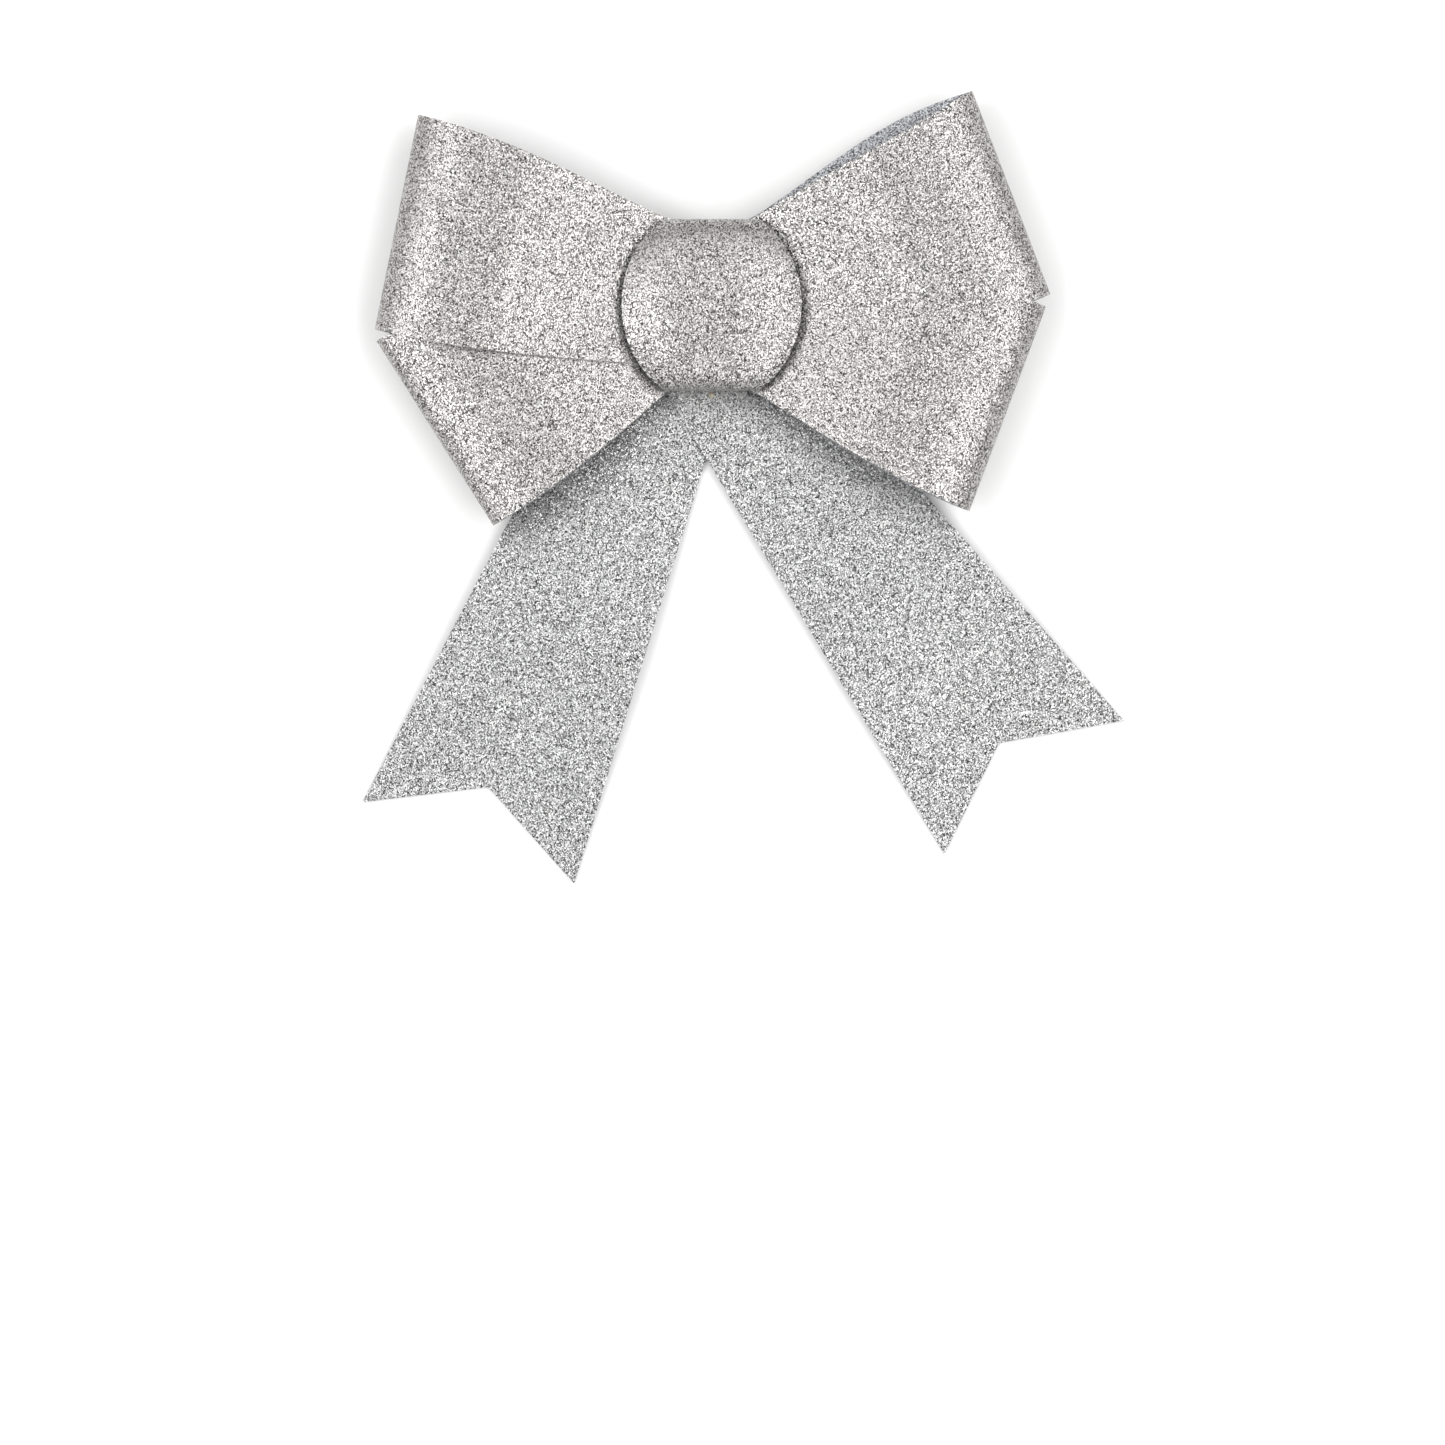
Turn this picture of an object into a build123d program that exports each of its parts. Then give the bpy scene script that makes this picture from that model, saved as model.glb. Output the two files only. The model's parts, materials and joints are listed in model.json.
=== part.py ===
from build123d import *
from math import cos, radians, sin
import os

# Pre-made gift bow lying on its back. Millimetres. The origin is on the flat back of the bow, behind the
# middle of the knot. +Z points out of the front, +Y to the top of the bow, +X to its right.

os.makedirs("parts", exist_ok=True)

# Stock
sheet = 0.4             # glittered plastic sheet
film = 0.1              # a pressed dot of hot-melt glue
tie_thickness = 0.7     # twist tie, over its wire
tie_width = 2.6
wire_diameter = 0.45

# The stack behind the knot, from the back upwards: the bottom face of each layer
left_tail_z = 0.0
right_tail_z = left_tail_z + sheet + film
band_outer_z = right_tail_z + sheet + film
band_inner_z = band_outer_z + sheet + film
tie_z = band_inner_z + sheet
outer_back_right_z = tie_z + tie_thickness
outer_back_left_z = outer_back_right_z + sheet + film
inner_back_right_z = outer_back_left_z + sheet + film
inner_back_left_z = inner_back_right_z + sheet + film
inner_front_z = inner_back_left_z + sheet + film
outer_front_z = inner_front_z + sheet + film

# Loop strips: hourglass shapes folded back into closed rings
waist_half_width = 10.0
fold_half_width = 16.45
lap = 5.0               # how far each back end runs past the middle
back_flat = 7.0         # the backs lie flat this far from the middle
bend_run = 4.0          # length of the gentle bend between the flat middle and the straight flank
front_flank_end = 30.5
outline_stations = (-lap - 1, 0.0, 12.0, 22.0, 33.0)    # places along a lobe that shape its outline
knot_edge_x = 12.0      # the lobes come out from under the knot here
shift_at_middle = 0.35  # share of the sideways shift that a strip has at its middle
flare_power = 1.35
crest_inset = 12.0      # the crest lies this far in from the fold
bulge_rise = 0.45       # the back bulges below its flank by this much

# Each lobe: direction of its axis, distance to its fold, sideways shift at the knot and at the fold
upper_left = {"angle": 168.5, "reach": 48.9, "knot_shift": -0.4, "fold_shift": -2.75}
lower_left = {"angle": 212.3, "reach": 45.5, "knot_shift": -4.5, "fold_shift": -5.9}
upper_right = {"angle": 21.1, "reach": 48.25, "knot_shift": -1.5, "fold_shift": -0.5}
lower_right = {"angle": -20.5, "reach": 47.3, "knot_shift": 1.6, "fold_shift": 0.95}

# The outer strip folds round a fuller edge than the inner strip, so that it closes over it
outer_ring = {"front": outer_front_z, "flat": 7.0, "slope": 0.225, "crest": 0.7, "bottom": 1.1,
              "shoulder_in": 1.5, "shoulder": 0.66}
inner_ring = {"front": inner_front_z, "flat": 14.0, "slope": 0.28, "crest": 0.9, "bottom": 2.1,
              "shoulder_in": 2.0, "shoulder": 0.54}

# Knot band
knot_half_height = 13.4
knot_half_width = 13.75
knot_long_axis = 15.6   # half axis of the ellipse that the front follows, cut off by the two straps
knot_crown_z = 12.3
strap_width = 11.6
knot_shoulder_z = 6.8   # the front starts to dome above this height
knot_cut_z = 6.2        # and is wider than its straps above this one
band_corner = 1.0       # how far the band takes to turn under to the back
band_lap = 6.0

# Tails: outline corners
left_outer_top = (-30.8, -32.5)
left_outer_tip = (-53.1, -75.4)
left_notch = (-34.0, -73.1)
left_inner_tip = (-20.9, -87.8)
left_inner_top = (-0.8, -23.1)
right_outer_top = (33.5, -29.7)
right_outer_tip = (62.8, -63.0)
right_notch = (43.8, -66.4)
right_inner_tip = (35.5, -83.3)
right_inner_top = (-0.8, -23.1)
left_tail_angle = 247.6
right_tail_angle = 306.3
root_overrun = 1.5      # how far each tail runs past the middle of the knot
tail_flat = 24.0        # the tails lie level this far from the middle
right_drop_end = 40.0   # the right tail comes down from the left tail to the table by here
tail_length = 96.0
left_arch = 0.6
right_arch = 0.5

# Twist tie
tie_y = 7.9
tie_hinge_x = 8.0
tie_middle_half = 7.45
tie_touchdown_x = 26.0
tie_end_x = 46.0
tie_axis_z = tie_z + tie_thickness / 2
tie_table_z = tie_thickness / 2
tie_bend_radius = 8.0

# Pressed dots of glue: radii
small_dot = 3.6         # between the backs of the loops
large_dot = 4.0         # between the wider layers
front_dot = 4.5
tail_dot = 3.0
bead = 0.6              # glue squeezed out below the knot band
bead_y = -13.3

curve_steps = 20        # spans in a curve drawn beside another
cut_height = 30.0       # cutting solids reach well past every sheet


def point_along(angle, distance):
    """Point in the plane of the bow at a distance from the middle."""
    return (distance * cos(radians(angle)), distance * sin(radians(angle)))


def side_curve(edge, shift):
    """Curve that runs beside a flat edge at an even distance."""
    steps = 1 if edge.geom_type == GeomType.LINE else curve_steps
    points = []
    for step in range(steps + 1):
        heading = edge % (step / steps)
        points.append(edge @ (step / steps) + Vector(-heading.Y, heading.X) * shift)
    if steps == 1:
        return Line(*points)
    return Spline(*points, tangents=[edge % 0, edge % 1])


def thick_section(run, thickness):
    """Face of an even thickness centred on a run of edges that follow each other."""
    left = [side_curve(edge, thickness / 2) for edge in run]
    right = [side_curve(edge, -thickness / 2) for edge in run]
    caps = [Line(left[0] @ 0, right[0] @ 0), Line(left[-1] @ 1, right[-1] @ 1)]
    return make_face([*left, *right, *caps])


def ring_profile(lobe, ring, back_z):
    """Cross-section of one lobe's sheet: X runs out along the lobe, Y is height."""
    reach = lobe["reach"] - sheet / 2
    front = ring["front"] + sheet / 2
    back = back_z + sheet / 2
    slope = ring["slope"]
    front_bend_x = ring["flat"] + bend_run
    front_bend_z = front + slope * bend_run / 2
    flank_z = front_bend_z + slope * (front_flank_end - front_bend_x)
    crest_z = flank_z + ring["crest"]
    bottom_z = ring["bottom"] + sheet / 2
    fold_z = (crest_z + bottom_z) / 2
    half = (crest_z - bottom_z) / 2
    shoulder_x = reach - ring["shoulder_in"]
    crest_x = reach - crest_inset
    back_slope = (bottom_z + bulge_rise - back) / (front_flank_end - back_flat - bend_run / 2)
    back_bend_x = back_flat + bend_run
    back_bend_z = back + back_slope * bend_run / 2
    climb = Vector(1, slope)
    dive = Vector(-1, -back_slope)
    run = [
        Line((-1, front), (ring["flat"], front)),
        Spline((ring["flat"], front), (front_bend_x, front_bend_z), tangents=[(1, 0), climb]),
        Line((front_bend_x, front_bend_z), (front_flank_end, flank_z)),
        Spline(
            (front_flank_end, flank_z),
            (crest_x, crest_z),
            (shoulder_x, fold_z + half * ring["shoulder"]),
            (reach, fold_z),
            (shoulder_x, fold_z - half * ring["shoulder"]),
            (crest_x, bottom_z),
            (front_flank_end, bottom_z + bulge_rise),
            tangents=[climb, dive],
        ),
        Line((front_flank_end, bottom_z + bulge_rise), (back_bend_x, back_bend_z)),
        Spline((back_bend_x, back_bend_z), (back_flat, back), tangents=[dive, (-1, 0)]),
        Line((back_flat, back), (-lap, back)),
    ]
    return run


def lobe_outline(lobe):
    """Plan of one lobe, flared from the waist to the fold."""
    reach = lobe["reach"]
    spread = fold_half_width - waist_half_width
    upper = []
    lower = []
    for station in (*outline_stations, reach):
        out = max(station, 0.0)
        half_width = waist_half_width + spread * sin(radians(90 * out / reach)) ** flare_power
        if station < knot_edge_x:
            shift = lobe["knot_shift"] * (shift_at_middle + (1 - shift_at_middle) * out / knot_edge_x)
        else:
            along = (station - knot_edge_x) / (reach - knot_edge_x)
            shift = lobe["knot_shift"] + (lobe["fold_shift"] - lobe["knot_shift"]) * along
        upper.append((station, shift + half_width))
        lower.append((station, shift - half_width))
    top = Spline(upper[0], *upper[1:])
    bottom = Spline(lower[0], *lower[1:])
    tip = Polyline(upper[-1], (reach + 1, upper[-1][1]), (reach + 1, lower[-1][1]), lower[-1])
    end = Line(lower[0], upper[0])
    return make_face([top, tip, bottom, end])


def lobe_solid(lobe, ring, back_z):
    """One lobe of a strip: the curved sheet cut to its outline and turned into place."""
    profile = ring_profile(lobe, ring, back_z)
    section = thick_section(profile, sheet)
    blank = extrude(Plane.XZ * section, cut_height, both=True)
    cutter = extrude(lobe_outline(lobe), cut_height, dir=(0, 0, 1))
    return (blank & cutter).rotate(Axis.Z, lobe["angle"])


def loop_strip(left, right, ring, left_back_z, right_back_z):
    """A strip with both lobes; its ends lap at the back."""
    return lobe_solid(left, ring, left_back_z) + lobe_solid(right, ring, right_back_z)


def knot_band():
    """Closed band: a domed front with rounded sides, and two straps that lap at the back."""
    end_y = knot_half_height - sheet / 2
    corner_y = end_y - band_corner
    inner_z = band_inner_z + sheet / 2
    outer_z = band_outer_z + sheet / 2
    crown_z = knot_crown_z - sheet / 2
    run = [
        Line((-band_lap, inner_z), (corner_y, inner_z)),
        Spline((corner_y, inner_z), (end_y, inner_z + band_corner), tangents=[(1, 0), (0, 1)]),
        Line((end_y, inner_z + band_corner), (end_y, knot_shoulder_z)),
        Spline((end_y, knot_shoulder_z), (0, crown_z), (-end_y, knot_shoulder_z),
               tangents=[(0, 1), (0, -1)]),
        Line((-end_y, knot_shoulder_z), (-end_y, outer_z + band_corner)),
        Spline((-end_y, outer_z + band_corner), (-corner_y, outer_z), tangents=[(0, -1), (1, 0)]),
        Line((-corner_y, outer_z), (band_lap, outer_z)),
    ]
    section = Plane.YZ * thick_section(run, sheet)
    straps = extrude(section, strap_width / 2, both=True)
    front = extrude(section, knot_half_width + 1, both=True)
    oval = extrude(Ellipse(knot_half_width, knot_long_axis), cut_height, dir=(0, 0, 1))
    above = Pos(0, 0, knot_cut_z) * Box(4 * knot_half_width, 4 * knot_half_width, cut_height,
                                        align=(Align.CENTER, Align.CENTER, Align.MIN))
    return straps + (front & oval & above)


def tail(corners, angle, root_z, drop_end, arch):
    """One flared tail with a swallow-tailed tip, lying on the table past the point where it comes down."""
    axis = Vector(*point_along(angle, 1))
    root = axis * -root_overrun
    outer_top, outer_tip, notch, inner_tip, inner_top = [Vector(*corner) for corner in corners]
    roots = []
    for top, tip in ((inner_top, inner_tip), (outer_top, outer_tip)):
        edge = tip - top
        step = (root - top).dot(axis) / edge.dot(axis)
        roots.append(top + edge * step)
    outline = make_face(Polyline(*roots, outer_tip, notch, inner_tip, close=True))
    rest = sheet / 2
    high = root_z + sheet / 2
    run = [Line((-tail_flat, high), (tail_flat, high))]
    if drop_end > tail_flat:
        run.append(Spline((tail_flat, high), (drop_end, rest), tangents=[(1, 0), (1, 0)]))
    arch_top = ((drop_end + tail_length) / 2, rest + arch)
    run.append(Spline((drop_end, rest), arch_top, (tail_length, rest), tangents=[(1, 0), (1, 0)]))
    section = thick_section(run, sheet)
    blank = extrude(Plane.XZ * section, cut_height, both=True).rotate(Axis.Z, angle)
    return blank & extrude(outline, cut_height, dir=(0, 0, 1))


def leg_path(side):
    """Middle line of one leg of the tie, from its hinge down to the table and out."""
    return FilletPolyline(
        (side * tie_hinge_x, tie_y, tie_axis_z),
        (side * tie_touchdown_x, tie_y, tie_table_z),
        (side * tie_end_x, tie_y, tie_table_z),
        radius=tie_bend_radius,
    )


def ribbon_section(path):
    """Flat ribbon of the tie across the start of a path."""
    plane = Plane(path @ 0, x_dir=(0, 1, 0), z_dir=path % 0)
    return plane * SlotOverall(tie_width, tie_thickness)


def wire_section(path):
    """Round wire across the start of a path."""
    return Plane(path @ 0, z_dir=path % 0) * Circle(wire_diameter / 2)


def tie_leg(side):
    """Cover and wire of one leg; the cover is rounded about its hinge line."""
    path = leg_path(side)
    wire = sweep(wire_section(path), path)
    knuckle = Pos(side * tie_hinge_x, tie_y, tie_axis_z) * Rot(90, 0, 0) * Cylinder(
        tie_thickness / 2, tie_width - tie_thickness)
    cover = sweep(ribbon_section(path), path) + knuckle
    return cover - wire, wire


def tie_middle():
    """Cover and wire of the stretch held under the knot band."""
    path = Line((-tie_middle_half, tie_y, tie_axis_z), (tie_middle_half, tie_y, tie_axis_z))
    wire = sweep(wire_section(path), path)
    return sweep(ribbon_section(path), path) - wire, wire


def glue_dot(x, y, z, radius, thickness=film):
    """Pressed dot of glue that fills the gap between two layers."""
    return Pos(x, y, z) * Cylinder(radius, thickness, align=(Align.CENTER, Align.CENTER, Align.MIN))


def glue_dots():
    """The dots that hold the layers together, by name."""
    tail_glue_z = right_tail_z + sheet
    tail_glue = glue_dot(0.0, -10.4, tail_glue_z, tail_dot) + glue_dot(0.0, bead_y, tail_glue_z, bead)
    return {
        "glue_tails_together": glue_dot(-2.0, -7.0, left_tail_z + sheet, large_dot),
        "glue_tails_to_band": tail_glue,
        "glue_band_lap": glue_dot(0.0, 0.0, band_outer_z + sheet, large_dot),
        "glue_outer_strip_lap": glue_dot(0.0, 0.0, outer_back_right_z + sheet, small_dot),
        "glue_strips_at_back": glue_dot(0.0, 0.0, outer_back_left_z + sheet, small_dot),
        "glue_inner_strip_lap": glue_dot(0.0, 0.0, inner_back_right_z + sheet, small_dot),
        "glue_inner_strip_middle": glue_dot(0.0, 0.0, inner_back_left_z + sheet, small_dot),
        "glue_strips_at_front": glue_dot(0.0, 0.0, inner_front_z + sheet, front_dot),
    }


def build():
    """All pieces by node name."""
    left_corners = (left_outer_top, left_outer_tip, left_notch, left_inner_tip, left_inner_top)
    right_corners = (right_outer_top, right_outer_tip, right_notch, right_inner_tip, right_inner_top)
    left_cover, left_wire = tie_leg(-1)
    right_cover, right_wire = tie_leg(1)
    middle_cover, middle_wire = tie_middle()
    pieces = {
        "outer_loop_strip": loop_strip(
            upper_left, lower_right, outer_ring, outer_back_left_z, outer_back_right_z),
        "inner_loop_strip": loop_strip(
            lower_left, upper_right, inner_ring, inner_back_left_z, inner_back_right_z),
        "knot_band": knot_band(),
        "left_tail": tail(left_corners, left_tail_angle, left_tail_z, tail_flat, left_arch),
        "right_tail": tail(right_corners, right_tail_angle, right_tail_z, right_drop_end, right_arch),
        "tie_middle_cover": middle_cover,
        "tie_middle_wire": middle_wire,
        "tie_left_leg_cover": left_cover,
        "tie_left_leg_wire": left_wire,
        "tie_right_leg_cover": right_cover,
        "tie_right_leg_wire": right_wire,
    }
    pieces.update(glue_dots())
    return pieces


for name, shape in build().items():
    export_step(shape, f"parts/{name}.step")
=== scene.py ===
import json
import math

import bmesh
import bpy
import numpy as np
from mathutils import Matrix, Vector, noise

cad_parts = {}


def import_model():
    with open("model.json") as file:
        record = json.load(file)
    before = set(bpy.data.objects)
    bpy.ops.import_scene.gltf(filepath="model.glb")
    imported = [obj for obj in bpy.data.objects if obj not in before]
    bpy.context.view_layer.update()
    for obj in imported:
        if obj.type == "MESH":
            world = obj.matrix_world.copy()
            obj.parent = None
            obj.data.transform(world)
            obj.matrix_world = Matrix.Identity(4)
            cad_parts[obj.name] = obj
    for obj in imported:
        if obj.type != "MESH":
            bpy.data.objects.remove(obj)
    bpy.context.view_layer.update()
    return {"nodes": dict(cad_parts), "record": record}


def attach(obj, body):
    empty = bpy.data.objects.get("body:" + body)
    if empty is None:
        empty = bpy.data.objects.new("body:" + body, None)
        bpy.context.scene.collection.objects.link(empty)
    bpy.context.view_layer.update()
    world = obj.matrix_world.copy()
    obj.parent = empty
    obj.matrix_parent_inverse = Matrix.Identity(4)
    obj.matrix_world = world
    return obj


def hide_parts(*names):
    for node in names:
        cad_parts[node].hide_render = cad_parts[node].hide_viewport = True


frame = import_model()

MM = 0.001
BODY = "bow"

# Sizes of the bow: plain values are in mm, and those multiplied by MM are in metres
SHEET = 0.4 * MM
ROW_STEP = 0.4 * MM          # spacing of a sheet's rows
COLUMNS = 36                 # spans across a sheet
SHARP = math.radians(40)     # a cut edge stays crisp
FRAY = 0.06                  # unevenness of a cut edge with flakes on it
FRAY_PITCH = 2.7
LAYER_GAP = 0.46             # between the middles of two sheets that lie on each other

# Loop strips
WAIST_HALF = 10.0 * MM
FOLD_HALF = 16.45 * MM
WAIST_CURVE = 1.35           # above 1 the strip widens later
LAP = 5.0 * MM

# Each lobe: direction, reach to the fold, sideways shift at the knot and at the fold, and how far the
# upper edge of its front and of its back bulges out
UPPER_LEFT = dict(angle=168.5, reach=48.9, knot_shift=-0.4, fold_shift=-2.75, bulge={1: 0.0, -1: 0.0})
LOWER_LEFT = dict(angle=212.3, reach=45.5, knot_shift=-4.5, fold_shift=-5.9, bulge={1: 0.0, -1: 0.0})
UPPER_RIGHT = dict(angle=21.1, reach=48.2, knot_shift=-1.5, fold_shift=-0.5, bulge={1: -1.3, -1: 1.0})
LOWER_RIGHT = dict(angle=-20.5, reach=47.3, knot_shift=1.6, fold_shift=0.95, bulge={1: 0.0, -1: 0.0})

# Heights of the middle of each ring's sheet
OUTER = dict(front=5.3, slope=0.24, left_back=3.3, right_back=2.86, bottom=1.4, fold=6.3)
INNER = dict(front=4.8, slope=0.225, left_back=4.3, right_back=3.8, bottom=2.5, fold=6.3)
FLAT_REACH = 6.0             # the front layer is flat under the knot as far as this
BEND_RUN = 4.0
BACK_FALL_START = 8.0        # the back layer stays clear of the twist tie as far as this
CREST_START = 19.0           # the flank rounds over to the crest this far in from the fold
CREST_ROUND = 4.0
FOLD_RUN = 10.5              # the fold is half an ellipse this deep
STRIP_START = 6.0            # inside this the front layer runs straight across under the knot
BRIDGE_ROWS = 24             # rows of that straight run
BULGE_START = 3.0
BULGE_SKEW = 2.0             # above 1 the bulge lies nearer the fold
SHIFT_RUN = 12.0             # the sideways shift at the knot is complete this far out
SHIFT_AT_MIDDLE = 0.35       # share of that shift at the very middle
COVER_OUTSIDE = 1.5          # the outer strip starts to rise this far outside the inner strip's edge
COVER_INSIDE = 2.5           # and lies fully on it this far inside
COVER_SOFTNESS = 0.25
RUFFLE = 0.18                # unevenness of hand-folded sheet
RUFFLE_START, RUFFLE_FULL = 12.0, 24.0
RUFFLE_PITCH = 0.045
FINE_STEPS = 800             # steps along each layer before its rows are spaced evenly


def smooth(value, low, high):
    """0 below low, 1 above high, and an even ramp between."""
    share = min(max((value - low) / (high - low), 0.0), 1.0)
    return share * share * (3 - 2 * share)


# ---------------------------------------------------------------- loops

def front_height(ring, reach, u):
    """Height of a loop's front layer at u mm from the middle."""
    slope = ring["slope"]
    bend = min(max(u - FLAT_REACH, 0.0), BEND_RUN)
    flank_end = reach - CREST_START
    z = ring["front"] + slope * bend * bend / (2 * BEND_RUN)
    z += slope * max(min(u, flank_end) - FLAT_REACH - BEND_RUN, 0.0)
    over = min(max(u - flank_end, 0.0), CREST_ROUND)
    z += slope * (over - over * over / (2 * CREST_ROUND))
    out = max(u - (reach - FOLD_RUN), 0.0) / FOLD_RUN
    return ring["fold"] + (z - ring["fold"]) * math.sqrt(max(1 - out * out, 0.0))


def back_height(ring, back, reach, u):
    """Height of a loop's back layer at u mm from the middle."""
    share = smooth(u, BACK_FALL_START, reach - CREST_START + CREST_ROUND)
    z = back + (ring["bottom"] - back) * share
    out = max(u - (reach - FOLD_RUN), 0.0) / FOLD_RUN
    return ring["fold"] + (z - ring["fold"]) * math.sqrt(max(1 - out * out, 0.0))


def half_width(reach, u):
    """Half width of a strip at u mm from the middle: an hourglass."""
    share = max(u, 0.0) / reach
    return (WAIST_HALF + (FOLD_HALF - WAIST_HALF) * math.sin(math.pi / 2 * share) ** WAIST_CURVE) / MM


def side_shift(lobe, u):
    """Sideways place of a strip's middle line at u mm from the middle."""
    at_knot, at_fold = lobe["knot_shift"], lobe["fold_shift"]
    if u < SHIFT_RUN:
        return at_knot * (SHIFT_AT_MIDDLE + (1 - SHIFT_AT_MIDDLE) * max(u, 0.0) / SHIFT_RUN)
    return at_knot + (at_fold - at_knot) * (u - SHIFT_RUN) / (lobe["reach"] - SHIFT_RUN)


def lobe_axes(lobe):
    """Unit vectors along a lobe and across it."""
    turn = math.radians(lobe["angle"])
    return Vector((math.cos(turn), math.sin(turn))), Vector((-math.sin(turn), math.cos(turn)))


def cover(lobe, point):
    """How far a point lies inside a lobe's outline, in mm, and its distance along the lobe."""
    along, across = lobe_axes(lobe)
    u = point.dot(along)
    inside = half_width(lobe["reach"], u) - abs(point.dot(across) - side_shift(lobe, u))
    return min(inside, lobe["reach"] - u), u


def resting(z, point, neighbours, back, sign):
    """Height of the outer strip where it has to lie over (or under) the inner strip."""
    for lobe in neighbours:
        inside, u = cover(lobe, point)
        if inside <= -COVER_OUTSIDE or u < 0:
            continue
        if sign > 0:
            other = front_height(INNER, lobe["reach"], u)
        else:
            other = back_height(INNER, INNER[back], lobe["reach"], u)
        short = sign * (other - z) + LAYER_GAP
        lift = COVER_SOFTNESS * math.log1p(math.exp(min(short / COVER_SOFTNESS, 40.0)))
        z += sign * lift * smooth(inside, -COVER_OUTSIDE, COVER_INSIDE)
    return z


def lobe_stations(lobe, ring, back):
    """Stations from the middle round the fold to the lapped end: distance out, height, and side."""
    reach = lobe["reach"]
    dense = []
    for step in range(FINE_STEPS + 1):
        u = STRIP_START + (reach - STRIP_START) * math.sin(math.pi / 2 * step / FINE_STEPS)
        dense.append((u, front_height(ring, reach, u), 1))
    for step in range(FINE_STEPS + 1):
        u = reach - (reach + LAP / MM) * (1 - math.cos(math.pi / 2 * step / FINE_STEPS))
        dense.append((u, back_height(ring, ring[back], reach, u), -1))
    lengths = [0.0]
    for before, after in zip(dense, dense[1:]):
        lengths.append(lengths[-1] + math.hypot(after[0] - before[0], after[1] - before[1]))
    count = round(lengths[-1] * MM / ROW_STEP)
    marks = np.interp(np.linspace(0, lengths[-1], count + 1), lengths, range(len(dense)))
    stations = []
    for mark in marks:
        low = min(int(mark), len(dense) - 2)
        share = mark - low
        u = dense[low][0] * (1 - share) + dense[low + 1][0] * share
        z = dense[low][1] * (1 - share) + dense[low + 1][1] * share
        stations.append((u, z, 1 if low < FINE_STEPS else -1))
    return stations


def ruffle(point, seed, amount):
    """Slight unevenness of hand-folded sheet, in mm."""
    return amount * noise.noise(Vector((point.x * RUFFLE_PITCH, point.y * RUFFLE_PITCH, seed)))


def fray(distance, side, seed):
    """How far flakes stand out from a cut edge, in mm."""
    return FRAY * noise.noise(Vector((distance * FRAY_PITCH, side, seed))) if abs(side) == 1 else 0.0


def lobe_rows(lobe, ring, back, neighbours, mirror):
    """Rows of points round one lobe, from the middle of the strip to its lapped end."""
    along, across = lobe_axes(lobe)
    reach = lobe["reach"]
    rows = []
    for u, z, side in lobe_stations(lobe, ring, back):
        width = half_width(reach, u)
        shift = side_shift(lobe, u)
        share = min(max(u - BULGE_START, 0.0) / (reach - BULGE_START), 1.0)
        bulge = lobe["bulge"][side] * math.sin(math.pi * share ** BULGE_SKEW)
        row = []
        for column in range(COLUMNS + 1):
            v = (2 * column / COLUMNS - 1) * (-1 if mirror else 1)
            wide = width + fray(u, v, lobe["angle"]) + bulge * max(v, 0.0)
            flat = along * u + across * (shift + v * wide)
            height = z
            if neighbours:
                height = resting(z, flat, neighbours, back, side)
            height += ruffle(flat, lobe["angle"] + side, RUFFLE * smooth(u, RUFFLE_START, RUFFLE_FULL))
            row.append(Vector((flat.x, flat.y, height)) * MM)
        rows.append(row)
    return rows


def strip_rows(left, right, ring, left_neighbours, right_neighbours):
    """Rows of a whole strip, from its left lapped end, over the front, to its right lapped end."""
    left_part = lobe_rows(left, ring, "left_back", left_neighbours, mirror=False)
    right_part = lobe_rows(right, ring, "right_back", right_neighbours, mirror=True)
    bridge = []
    for step in range(1, BRIDGE_ROWS):
        share = step / BRIDGE_ROWS
        bridge.append([a.lerp(b, share) for a, b in zip(left_part[0], right_part[0])])
    return list(reversed(left_part)) + bridge + right_part


# ---------------------------------------------------------------- meshes

def grid_object(name, rows, materials, flip=False):
    """A sheet with a real thickness from rows of points: face, inner face in painted shade, and cut edge."""
    mesh = bpy.data.meshes.new(name)
    bm = bmesh.new()
    made = [[bm.verts.new(point) for point in row] for row in rows]
    for row, after in zip(made, made[1:]):
        for column in range(len(row) - 1):
            corners = [row[column], row[column + 1], after[column + 1], after[column]]
            bm.faces.new(reversed(corners) if flip else corners)
    for face in bm.faces:
        face.smooth = True
    bm.to_mesh(mesh)
    bm.free()
    piece = bpy.data.objects.new(name, mesh)
    bpy.context.scene.collection.objects.link(piece)
    for material in materials:
        mesh.materials.append(material)
    solid = piece.modifiers.new("thickness", "SOLIDIFY")
    solid.thickness = SHEET
    solid.offset = 0.0
    solid.material_offset = 1
    solid.material_offset_rim = 2
    made_solid = piece.evaluated_get(bpy.context.evaluated_depsgraph_get())
    piece.data = bpy.data.meshes.new_from_object(made_solid)
    piece.modifiers.clear()
    piece.data.set_sharp_from_angle(angle=SHARP)
    return piece


# ---------------------------------------------------------------- materials

GRAIN_ENDS = (0.35, 0.65)    # the grain's values that show the darker and the lighter colour in full
GRAIN_DEPTH = 0.05 * MM
FLAKES_PER_METRE = 1 / (0.15 * MM)
FLAKE_ENDS = (0.15, 0.85)
FLAKE_HUE = 0.03
FLAKE_ROUGHNESS_SPREAD = 0.12


def new_material(name):
    material = bpy.data.materials.new(name)
    material.use_nodes = True
    shader = material.node_tree.nodes["Principled BSDF"]
    return material, material.node_tree, shader


def add(tree, kind, **values):
    node = tree.nodes.new(kind)
    for key, value in values.items():
        if hasattr(node, key):
            setattr(node, key, value)
        else:
            node.inputs[key].default_value = value
    return node


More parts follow.
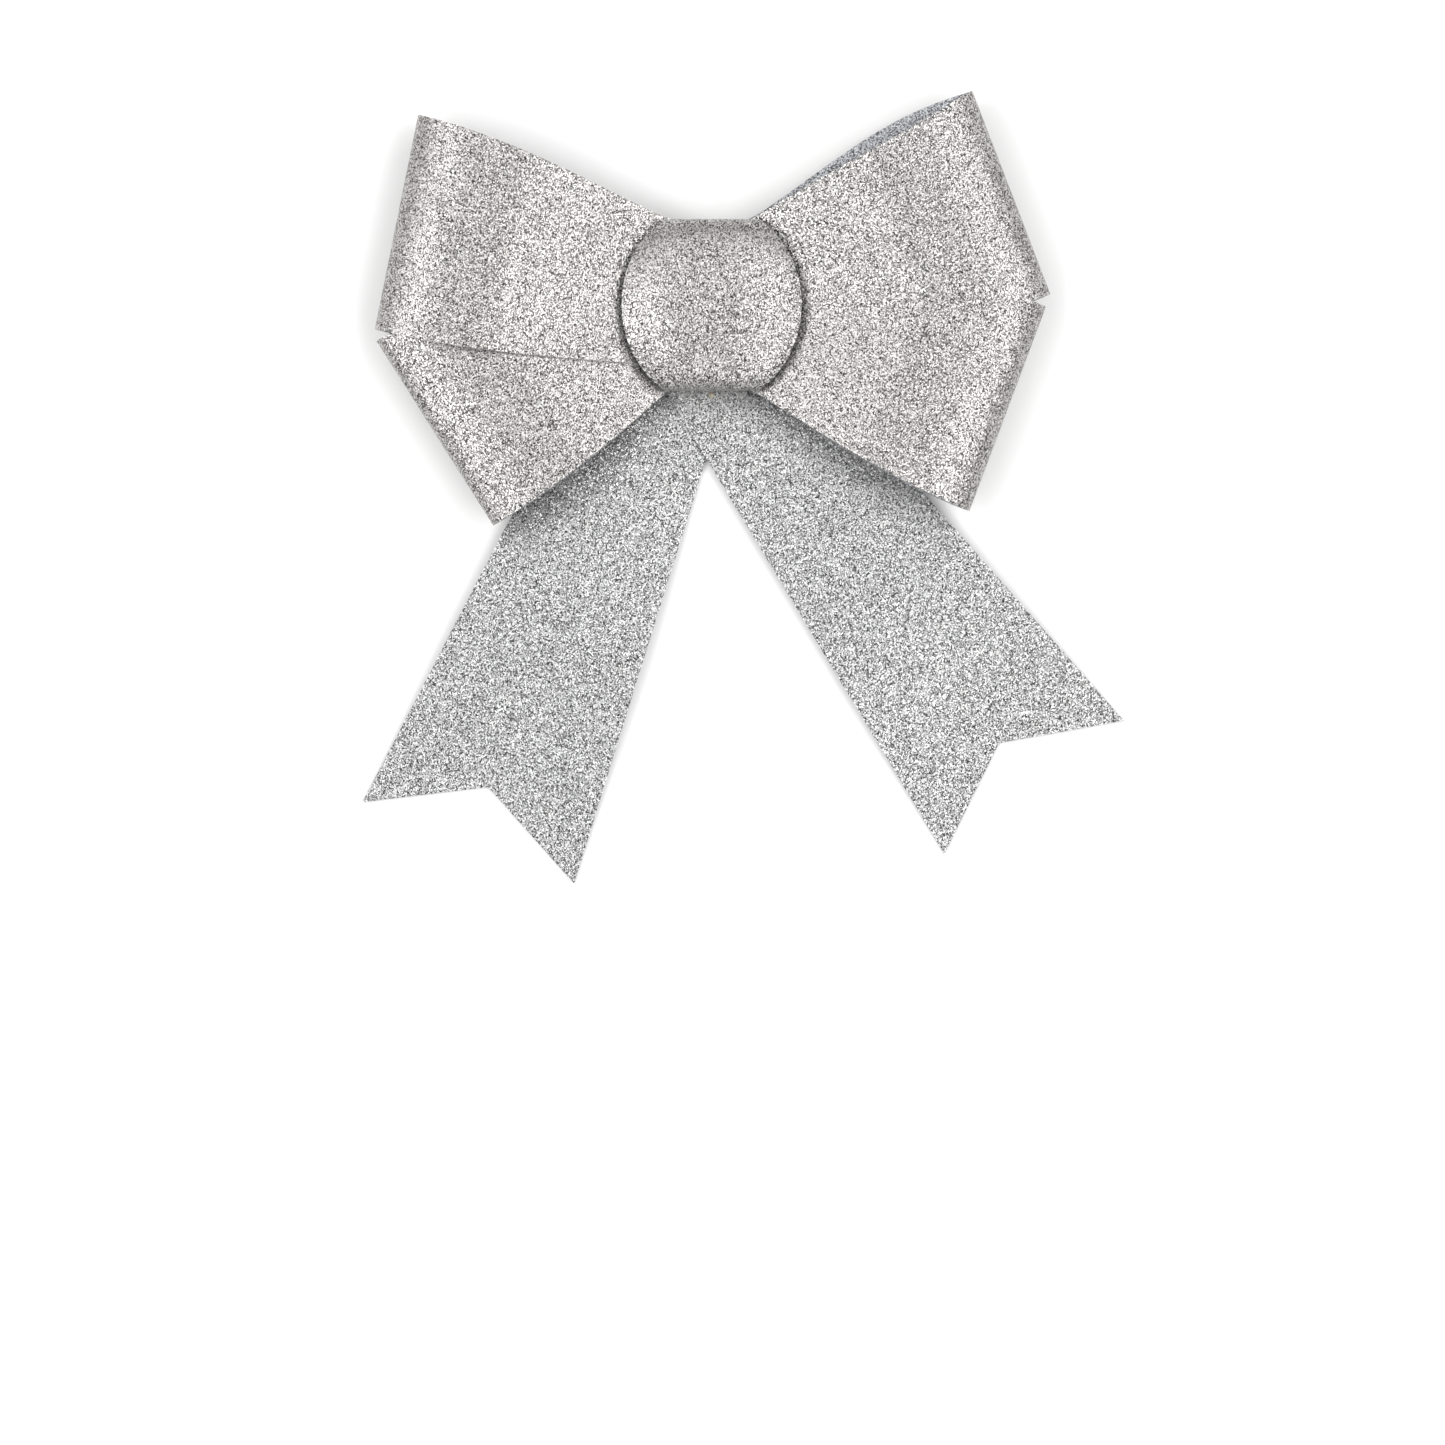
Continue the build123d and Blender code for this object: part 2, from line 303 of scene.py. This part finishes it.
def speckled(name, scale, detail, colours, roughness):
    """A finish whose colour and roughness both follow the same grain; each pair is low then high."""
    material, tree, shader = new_material(name)
    link = tree.links.new
    place = add(tree, "ShaderNodeTexCoord")
    stretch = add(tree, "ShaderNodeMapping")
    stretch.inputs["Scale"].default_value = scale
    link(place.outputs["Object"], stretch.inputs["Vector"])
    grain = add(tree, "ShaderNodeTexNoise", Scale=1.0, Detail=detail)
    link(stretch.outputs["Vector"], grain.inputs["Vector"])
    ramp = add(tree, "ShaderNodeValToRGB")
    for element, position, colour in zip(ramp.color_ramp.elements, GRAIN_ENDS, colours):
        element.position = position
        element.color = (*colour, 1)
    link(grain.outputs["Fac"], ramp.inputs["Fac"])
    link(ramp.outputs["Color"], shader.inputs["Base Color"])
    gloss = add(tree, "ShaderNodeMapRange")
    gloss.inputs["To Min"].default_value = roughness[0]
    gloss.inputs["To Max"].default_value = roughness[1]
    link(grain.outputs["Fac"], gloss.inputs["Value"])
    link(gloss.outputs["Result"], shader.inputs["Roughness"])
    bump = add(tree, "ShaderNodeBump", Strength=0.3)
    bump.inputs["Distance"].default_value = GRAIN_DEPTH
    link(grain.outputs["Fac"], bump.inputs["Height"])
    link(bump.outputs["Normal"], shader.inputs["Normal"])
    return material, shader


def glitter(name, tint, tilt, darkest, roughness, metallic):
    """Flakes of film bonded to sheet: each cell has its own tilt, brightness, hue and roughness."""
    material, tree, shader = new_material(name)
    link = tree.links.new
    place = add(tree, "ShaderNodeTexCoord")
    cells = add(tree, "ShaderNodeTexVoronoi", feature="F1", Scale=FLAKES_PER_METRE, Randomness=1.0)
    link(place.outputs["Object"], cells.inputs["Vector"])
    centred = add(tree, "ShaderNodeVectorMath", operation="SUBTRACT")
    centred.inputs[1].default_value = (0.5, 0.5, 0.5)
    link(cells.outputs["Color"], centred.inputs[0])
    leaned = add(tree, "ShaderNodeVectorMath", operation="SCALE")
    leaned.inputs["Scale"].default_value = tilt
    link(centred.outputs["Vector"], leaned.inputs[0])
    surface = add(tree, "ShaderNodeNewGeometry")
    tipped = add(tree, "ShaderNodeVectorMath", operation="ADD")
    link(surface.outputs["Normal"], tipped.inputs[0])
    link(leaned.outputs["Vector"], tipped.inputs[1])
    unit = add(tree, "ShaderNodeVectorMath", operation="NORMALIZE")
    link(tipped.outputs["Vector"], unit.inputs[0])
    link(unit.outputs["Vector"], shader.inputs["Normal"])
    parts = add(tree, "ShaderNodeSeparateColor")
    link(cells.outputs["Color"], parts.inputs["Color"])
    ramp = add(tree, "ShaderNodeValToRGB")
    dark, light = ramp.color_ramp.elements
    dark.position, light.position = FLAKE_ENDS
    dark.color = (*(part * darkest for part in tint), 1)
    light.color = (*tint, 1)
    link(parts.outputs["Green"], ramp.inputs["Fac"])
    hue = add(tree, "ShaderNodeMix", data_type="RGBA", blend_type="MULTIPLY")
    hue.inputs["Factor"].default_value = FLAKE_HUE
    link(ramp.outputs["Color"], hue.inputs["A"])
    link(cells.outputs["Color"], hue.inputs["B"])
    link(hue.outputs["Result"], shader.inputs["Base Color"])
    gloss = add(tree, "ShaderNodeMapRange")
    gloss.inputs["To Min"].default_value = roughness - FLAKE_ROUGHNESS_SPREAD
    gloss.inputs["To Max"].default_value = roughness + FLAKE_ROUGHNESS_SPREAD
    link(parts.outputs["Blue"], gloss.inputs["Value"])
    link(gloss.outputs["Result"], shader.inputs["Roughness"])
    shader.inputs["Metallic"].default_value = metallic
    return material


def cut_edge():
    """The sheet's cut rim: pale plastic with traces of flake."""
    material, _ = speckled(
        "cut_edge", (3000, 3000, 3000), 3.0, ((0.36, 0.36, 0.37), (0.58, 0.58, 0.58)), (0.45, 0.65))
    return material


LOOP_FACE = glitter("glitter_face", (0.65, 0.627, 0.62), 0.45, 0.05, 0.3, 0.9)
TAIL_FACE = glitter("glitter_tail_face", (0.67, 0.67, 0.675), 0.45, 0.05, 0.3, 0.9)
# The sheet's inner face: the same glitter with painted shade, a darker and bluer tint; it is also rougher and
# less metallic.
SHADED_INNER_FACE = glitter("glitter_inner_face_painted_shade", (0.55, 0.56, 0.59), 0.5, 0.2, 0.45, 0.6)
RIM = cut_edge()
LOOP_SKINS = [LOOP_FACE, SHADED_INNER_FACE, RIM]
TAIL_SKINS = [TAIL_FACE, SHADED_INNER_FACE, RIM]


# ---------------------------------------------------------------- pieces

def loop_strip(name, node, left, right, ring, left_neighbours, right_neighbours):
    rows = strip_rows(left, right, ring, left_neighbours, right_neighbours)
    piece = grid_object(name, rows, LOOP_SKINS)
    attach(piece, BODY)
    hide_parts(node)


loop_strip("outer_loops", "outer_loop_strip", UPPER_LEFT, LOWER_RIGHT, OUTER, [LOWER_LEFT], [UPPER_RIGHT])
loop_strip("inner_loops", "inner_loop_strip", LOWER_LEFT, UPPER_RIGHT, INNER, [], [])

# Knot band
KNOT_HALF_HEIGHT = 12.9
KNOT_HALF_WIDTH = 13.5
KNOT_LONG_AXIS = 15.0
KNOT_MIDDLE_X = 0.05
KNOT_SHOULDER = 6.8
KNOT_CROWN = 10.8
KNOT_CROWN_CURVE = 0.62      # below 1 the dome is flatter on top
KNOT_SIDE_DROP = 2.4         # the sides of the dome come down towards the loops
KNOT_SIDE_CURVE = 2.8
CHORD_HALF = 6.9             # half width where the dome ends
STRAP_HALF = 5.8
STRAP_LAP = 6.0              # each strap runs this far past the middle of the back
STRAP_CORNER = 1.1
WIDEN_START = 0.3            # share of the wall below which it is as narrow as a strap
INNER_STRAP_Z = 1.7
OUTER_STRAP_Z = 1.2
STRAP_STEPS, CORNER_STEPS, WALL_STEPS, DOME_STEPS = 23, 6, 8, 64
END_Y = KNOT_HALF_HEIGHT - SHEET / MM / 2


def strap_and_wall(strap_z):
    """Points (y, z, half width) from the end of a strap, round its corner and up to the dome's shoulder."""
    corner_y = END_Y - STRAP_CORNER
    wall_low = strap_z + STRAP_CORNER
    points = []
    for step in range(STRAP_STEPS + 1):
        points.append((-STRAP_LAP + (corner_y + STRAP_LAP) * step / STRAP_STEPS, strap_z, STRAP_HALF))
    for step in range(1, CORNER_STEPS + 1):
        turn = math.pi / 2 * step / CORNER_STEPS
        y = corner_y + STRAP_CORNER * math.sin(turn)
        points.append((y, wall_low - STRAP_CORNER * math.cos(turn), STRAP_HALF))
    for step in range(1, WALL_STEPS + 1):
        share = step / WALL_STEPS
        half = STRAP_HALF + (CHORD_HALF - STRAP_HALF) * smooth(share, WIDEN_START, 1.0)
        points.append((END_Y, wall_low + (KNOT_SHOULDER - wall_low) * share, half))
    return points


def band_path():
    """Points (y, z, half width) round the band, from its inner lapped end over the front to its outer end."""
    dome = []
    for step in range(1, DOME_STEPS):
        turn = math.pi * step / DOME_STEPS
        y = END_Y * math.cos(turn)
        z = KNOT_SHOULDER + (KNOT_CROWN - KNOT_SHOULDER) * math.sin(turn) ** KNOT_CROWN_CURVE
        dome.append((y, z, KNOT_HALF_WIDTH * math.sqrt(1 - (y / KNOT_LONG_AXIS) ** 2)))
    lower = [(-y, z, half) for y, z, half in reversed(strap_and_wall(OUTER_STRAP_Z))]
    return strap_and_wall(INNER_STRAP_Z) + dome + lower


def knot_band():
    rows = []
    for y, z, half in band_path():
        dome = max(z - KNOT_SHOULDER, 0.0) / (KNOT_CROWN - KNOT_SHOULDER)
        row = []
        for column in range(COLUMNS + 1):
            side = 2 * column / COLUMNS - 1
            x = KNOT_MIDDLE_X + side * (half + fray(y, side, z))
            row.append(Vector((x, y, z - KNOT_SIDE_DROP * dome * abs(side) ** KNOT_SIDE_CURVE)) * MM)
        rows.append(row)
    piece = grid_object("knot_band_sheet", rows, LOOP_SKINS, flip=True)
    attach(piece, BODY)
    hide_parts("knot_band")


knot_band()

# Tails: root corners, then outer tip, notch and inner tip
LEFT_TAIL = dict(outer_root=(-12.4, 2.6), inner_root=(4.8, -5.2), outer=(-53.1, -75.4), notch=(-34.0, -73.1),
                 inner=(-20.9, -87.8))
RIGHT_TAIL = dict(outer_root=(5.0, 2.5), inner_root=(-9.7, -8.3), outer=(62.8, -63.0), notch=(43.8, -66.4),
                  inner=(35.5, -83.3))
TABLE_Z = 0.2                # middle of a sheet that lies on the table
LEFT_ARCH, LEFT_ARCH_START = 1.6, 0.2
RIGHT_ROOT_Z = 0.7
RIGHT_RISE, RIGHT_CLIMB = 0.5, (0.12, 0.25)   # starts and ends are shares of the tail's length
RIGHT_SETTLE = (0.35, 0.6)
RIGHT_ARCH, RIGHT_ARCH_START = 1.2, 0.3


def tail_rows(tail, height):
    """Rows of a tail from its root to its swallow-tailed tip."""
    outer_root, inner_root = Vector(tail["outer_root"]), Vector(tail["inner_root"])
    outer, notch, inner = Vector(tail["outer"]), Vector(tail["notch"]), Vector(tail["inner"])
    count = round((outer - outer_root).length * MM / ROW_STEP)
    rows = []
    for step in range(count + 1):
        share = step / count
        row = []
        for column in range(COLUMNS + 1):
            side = 2 * column / COLUMNS - 1
            root = outer_root.lerp(inner_root, (side + 1) / 2)
            tip = notch.lerp(inner, side) if side > 0 else notch.lerp(outer, -side)
            flat = root.lerp(tip, share)
            flat += (inner_root - outer_root).normalized() * (side * fray(step, side, outer.x))
            row.append(Vector((flat.x, flat.y, height(share))) * MM)
        rows.append(row)
    return rows


def left_height(share):
    """The left tail lies on the table at its root and its tip and arches a little between them."""
    return TABLE_Z + LEFT_ARCH * math.sin(math.pi * smooth(share, LEFT_ARCH_START, 1.0))


def right_height(share):
    """The right tail's root lies over the left one's, and its tip lies on the table."""
    level = RIGHT_ROOT_Z + RIGHT_RISE * smooth(share, *RIGHT_CLIMB)
    level -= (RIGHT_ROOT_Z + RIGHT_RISE - TABLE_Z) * smooth(share, *RIGHT_SETTLE)
    return level + RIGHT_ARCH * math.sin(math.pi * smooth(share, RIGHT_ARCH_START, 1.0))


def tail_piece(name, node, tail, height, flip):
    rows = tail_rows(tail, height)
    piece = grid_object(name, rows, TAIL_SKINS, flip=flip)
    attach(piece, BODY)
    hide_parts(node)


tail_piece("left_tail_sheet", "left_tail", LEFT_TAIL, left_height, flip=True)
tail_piece("right_tail_sheet", "right_tail", RIGHT_TAIL, right_height, flip=False)


# ---------------------------------------------------------------- carried-over CAD nodes

def tie_film():
    """Satin film pressed over the wire, with the fine cross creases that winding leaves."""
    material, shader = speckled(
        "tie_film", (2600, 300, 300), 3.0, ((0.55, 0.56, 0.58), (0.74, 0.75, 0.77)), (0.25, 0.5))
    shader.inputs["Metallic"].default_value = 0.6
    return material


def hot_glue():
    """Set hot-melt glue: amber, waxy and a little cloudy."""
    material, shader = speckled(
        "hot_glue", (900, 900, 900), 2.0, ((0.38, 0.34, 0.26), (0.54, 0.50, 0.40)), (0.2, 0.4))
    shader.inputs["Subsurface Weight"].default_value = 0.4
    shader.inputs["Subsurface Scale"].default_value = 0.5 * MM
    return material


def drawn_wire():
    """Steel wire with fine streaks along it."""
    material, shader = speckled(
        "drawn_wire", (150, 9000, 9000), 2.0, ((0.40, 0.40, 0.41), (0.58, 0.58, 0.59)), (0.25, 0.45))
    shader.inputs["Metallic"].default_value = 1.0
    return material


DROP_RINGS = 5
DROP_SIDES = 20
DROP_UNEVENNESS = 0.2        # share of the radius


def drop(bm, middle, radius, height, seed):
    """A rounded drop of glue with an uneven outline; middle is on its flat underside."""
    rings = []
    for ring in range(DROP_RINGS):
        turn = math.pi / 2 * ring / DROP_RINGS
        points = []
        for step in range(DROP_SIDES):
            around = 2 * math.pi * step / DROP_SIDES
            spot = Vector((math.cos(around), math.sin(around), seed))
            reach = radius * math.cos(turn) * (1 + DROP_UNEVENNESS * noise.noise(spot))
            offset = Vector((reach * spot.x, reach * spot.y, height * math.sin(turn)))
            points.append(bm.verts.new((Vector(middle) + offset) * MM))
        rings.append(points)
    top = bm.verts.new((Vector(middle) + Vector((0, 0, height))) * MM)
    bm.faces.new(reversed(rings[0]))
    for low, high in zip(rings, rings[1:]):
        for step in range(DROP_SIDES):
            after = (step + 1) % DROP_SIDES
            bm.faces.new((low[step], low[after], high[after], high[step]))
    for step in range(DROP_SIDES):
        bm.faces.new((rings[-1][step], rings[-1][(step + 1) % DROP_SIDES], top))


def tail_glue(material):
    """The glue between the tails and the knot band: a pressed dot, and a bead squeezed out below it."""
    bm = bmesh.new()
    drop(bm, (0.0, -9.4, 0.9), radius=3.0, height=0.1, seed=1.0)
    drop(bm, (0.0, -13.55, 0.85), radius=0.5, height=0.4, seed=7.0)
    for face in bm.faces:
        face.smooth = True
    mesh = bpy.data.meshes.new("tail_glue")
    bm.to_mesh(mesh)
    bm.free()
    mesh.materials.append(material)
    piece = bpy.data.objects.new("tail_glue", mesh)
    bpy.context.scene.collection.objects.link(piece)
    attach(piece, BODY)
    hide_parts("glue_tails_to_band")


def finish_cad_nodes():
    """Finishes for the twist tie and the glue dots, which keep their CAD shape, and the glue that shows."""
    finishes = {"tie_cover": tie_film(), "hot_glue": hot_glue(), "tie_wire": drawn_wire()}
    for entry in frame["record"]["subparts"]:
        finish = finishes.get(entry["material_slot"])
        if finish:
            mesh = frame["nodes"][entry["node"]].data
            mesh.materials.clear()
            mesh.materials.append(finish)
    tail_glue(finishes["hot_glue"])


finish_cad_nodes()


# ---------------------------------------------------------------- floor, light, camera

# All in metres
FLOOR_Z = -0.0002            # a hair under the bow
FLOOR_HALF = 3.0
BOW_MIDDLE = (0, -0.02, 0)   # what the lights point at
BANK = (2.2, 0.67)           # the long side runs along the bow's height
KEY = (0.25, 0.25)


def floor():
    """A white table that reaches past the picture on every side."""
    half = FLOOR_HALF
    corners = [(-half, -half, 0), (half, -half, 0), (half, half, 0), (-half, half, 0)]
    mesh = bpy.data.meshes.new("floor")
    mesh.from_pydata(corners, [], [(0, 1, 2, 3)])
    plane = bpy.data.objects.new("floor", mesh)
    bpy.context.scene.collection.objects.link(plane)
    plane.location.z = FLOOR_Z
    material, _, shader = new_material("floor")
    shader.inputs["Base Color"].default_value = (0.82, 0.82, 0.82, 1)
    shader.inputs["Roughness"].default_value = 0.9
    mesh.materials.append(material)


def softbox(name, place, size, power):
    """A rectangular lamp that faces the bow; the light is a very slightly warm white."""
    light = bpy.data.lights.new(name, "AREA")
    light.shape = "RECTANGLE"
    light.size, light.size_y = size
    light.energy = power
    light.color = (1.0, 0.995, 0.99)
    lamp = bpy.data.objects.new(name, light)
    bpy.context.scene.collection.objects.link(lamp)
    lamp.location = place
    lamp.rotation_euler = (Vector(BOW_MIDDLE) - Vector(place)).to_track_quat("-Z", "Y").to_euler()


def world(strength):
    sky = bpy.data.worlds.new("world")
    bpy.context.scene.world = sky
    sky.use_nodes = True
    background = sky.node_tree.nodes["Background"]
    background.inputs["Color"].default_value = (1, 1, 1, 1)
    background.inputs["Strength"].default_value = strength


def camera():
    """Looks down at the bow from a metre away; the bow fills the upper half of the picture."""
    distance = 1.0
    sensor = 36
    seen_width = 219.2 * MM
    aim = Vector((1.7, -63.2, 4.0)) * MM
    stand = Vector((1.7 * MM, -40 * MM, distance))
    data = bpy.data.cameras.new("camera")
    data.sensor_width = sensor
    data.lens = sensor * (stand - aim).length / seen_width
    data.clip_start = 0.01
    eye = bpy.data.objects.new("camera", data)
    bpy.context.scene.collection.objects.link(eye)
    eye.location = stand
    forward = (aim - stand).normalized()
    right = Vector((1, 0, 0))
    up = right.cross(forward)
    eye.matrix_world = Matrix.Translation(stand) @ Matrix(
        ((right.x, up.x, -forward.x), (right.y, up.y, -forward.y), (right.z, up.z, -forward.z))).to_4x4()
    bpy.context.scene.camera = eye


floor()
world(0.70)
softbox("left_softbox", (-0.6, 0, 0.92), BANK, power=7.2)
softbox("right_softbox", (0.6, 0, 0.92), BANK, power=11.0)
softbox("key_softbox", (-0.75, 0.12, 0.66), KEY, power=1.6)
bpy.context.scene.view_settings.view_transform = "Standard"
camera()
